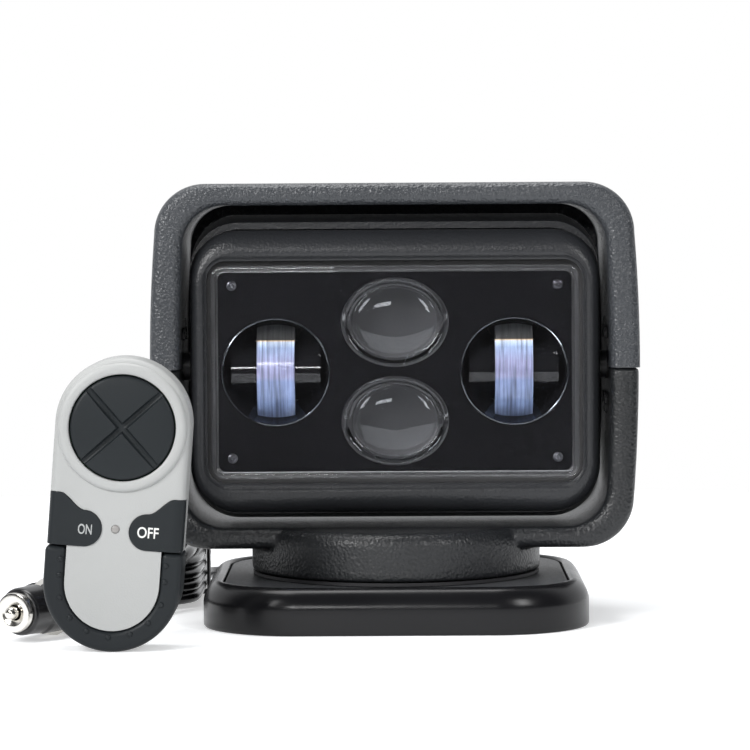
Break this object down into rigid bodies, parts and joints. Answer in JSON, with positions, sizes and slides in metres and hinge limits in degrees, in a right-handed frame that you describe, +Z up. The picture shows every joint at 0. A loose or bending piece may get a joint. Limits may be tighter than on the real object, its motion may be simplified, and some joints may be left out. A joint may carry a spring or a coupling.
{
  "type": "remote-controlled marine searchlight",
  "caption": "Wide rectangular searchlight head that tilts in a square yoke, panning on a round turret and magnet shoe, with handheld remote and plug cord.",
  "frame": {"origin": "middle of the rubber shoe's flat underside, on the pan axis", "axes": "+Z up along the pan axis; the lamp faces -Y at rest; +X is to the right seen from the front"},
  "size_m": [0.261, 0.2668, 0.183],
  "materials": {
    "housing": "hammered black plastic",
    "shell": "smooth satin black plastic",
    "rubber": "glossy moulded black rubber",
    "steel": "bright steel",
    "acetal": "natural white acetal",
    "motor": "zinc-plated steel can",
    "board": "green solder mask",
    "magnet": "nickel-plated keeper and magnet pots",
    "case": "die-cast, black coated",
    "gloss": "gloss black",
    "glass": "clear polycarbonate",
    "strip": "frosted blue-white diffuser",
    "pale": "fine textured pale warm grey",
    "slate": "dark slate soft-touch rubber",
    "cable": "gloss black cable sheath",
    "nickel": "nickel plate"
  },
  "bodies": {
    "base": {"rubber_shoe": "rubber", "magnet_keeper": "magnet", "base_plate": "housing", "pan_post": "steel", "pan_retainer": "steel", "pan_bearing_ring": "shell", "pan_ring_gear": "acetal", "cord_gland": "rubber", "inner_cable": "cable", "power_cord_lead": "cable", "power_cord_hank": "cable", "power_cord_tail": "cable", "cord_tie": "slate", "plug_body": "cable", "plug_ring": "nickel", "plug_contact_top": "nickel", "plug_contact_bottom": "nickel", "remote_front_shell": "pale", "remote_rear_shell": "pale", "remote_grip": "slate", "remote_led_window": "glass", "remote_battery_door": "pale", "remote_board": "board", "remote_battery": "nickel"},
    "yoke": {"upper_housing": "housing", "lower_housing": "housing", "turret_chassis": "shell", "pan_motor": "motor", "control_board": "board", "trunnion_left": "steel", "trunnion_right": "steel", "tilt_gear": "acetal"},
    "head": {"head_shell": "shell", "tilt_bush_left": "acetal", "tilt_bush_right": "acetal", "tilt_motor": "motor", "head_bezel": "shell", "bezel_gasket": "rubber", "lamp_carrier": "case", "lamp_case": "case", "lamp_mask": "gloss", "side_reflector_left": "gloss", "side_reflector_right": "gloss", "strip_lens_left": "strip", "strip_lens_right": "strip", "projector_lens_upper": "glass", "projector_lens_lower": "glass", "led_board": "board", "lens_cover": "glass"},
    "pan_pinion": {"pan_pinion": "acetal"},
    "tilt_pinion": {"tilt_pinion": "acetal"},
    "rocker_plate": {"remote_rocker_plate": "acetal"},
    "rocker_pad": {"remote_rocker_pad": "slate"},
    "on_key": {"remote_on_key": "slate"},
    "off_key": {"remote_off_key": "slate"},
    "plug_tip": {"plug_tip": "nickel"}
  },
  "joints": [
    {"name": "pan", "type": "hinge", "parent": "base", "child": "yoke", "pos_m": [0, 0, 0], "axis": [0, 0, 1], "range_deg": [-185, 185]},
    {"name": "tilt", "type": "hinge", "parent": "yoke", "child": "head", "pos_m": [0, 0, 0.106], "axis": [-1, 0, 0], "range_deg": [-45, 90]},
    {"name": "pan_pinion_spin", "type": "hinge", "parent": "yoke", "child": "pan_pinion", "pos_m": [0, 0.04215, 0.021], "axis": [0, 0, 1], "range_deg": [-740, 740]},
    {"name": "tilt_pinion_spin", "type": "hinge", "parent": "head", "child": "tilt_pinion", "pos_m": [-0.0776, 0.02095, 0.106], "axis": [-1, 0, 0], "range_deg": [-150, 300]},
    {"name": "rocker_up_down", "type": "hinge", "parent": "base", "child": "rocker_plate", "pos_m": [-0.10608, -0.116, 0.08793], "axis": [0.9969, 0, -0.0785], "range_deg": [-3.5, 3.5], "stiffness_Nm_per_rad": 0.3},
    {"name": "rocker_left_right", "type": "hinge", "parent": "rocker_plate", "child": "rocker_pad", "pos_m": [-0.10608, -0.116, 0.08793], "axis": [0.0785, 0, 0.9969], "range_deg": [-3.5, 3.5], "stiffness_Nm_per_rad": 0.3},
    {"name": "on_key_press", "type": "slide", "parent": "base", "child": "on_key", "axis": [0, 1, 0], "range_m": [0, 0.0012], "stiffness_N_per_m": 500, "springref_m": -0.0005},
    {"name": "off_key_press", "type": "slide", "parent": "base", "child": "off_key", "axis": [0, 1, 0], "range_m": [0, 0.0012], "stiffness_N_per_m": 500, "springref_m": -0.0005},
    {"name": "plug_tip_press", "type": "slide", "parent": "base", "child": "plug_tip", "axis": [0.5, 0.866, 0], "range_m": [0, 0.0025], "stiffness_N_per_m": 400, "springref_m": -0.001}
  ],
  "couplings": [
    {"joint": "pan_pinion_spin", "follows": "pan", "ratio": 4},
    {"joint": "tilt_pinion_spin", "follows": "tilt", "ratio": 3.3333}
  ]
}
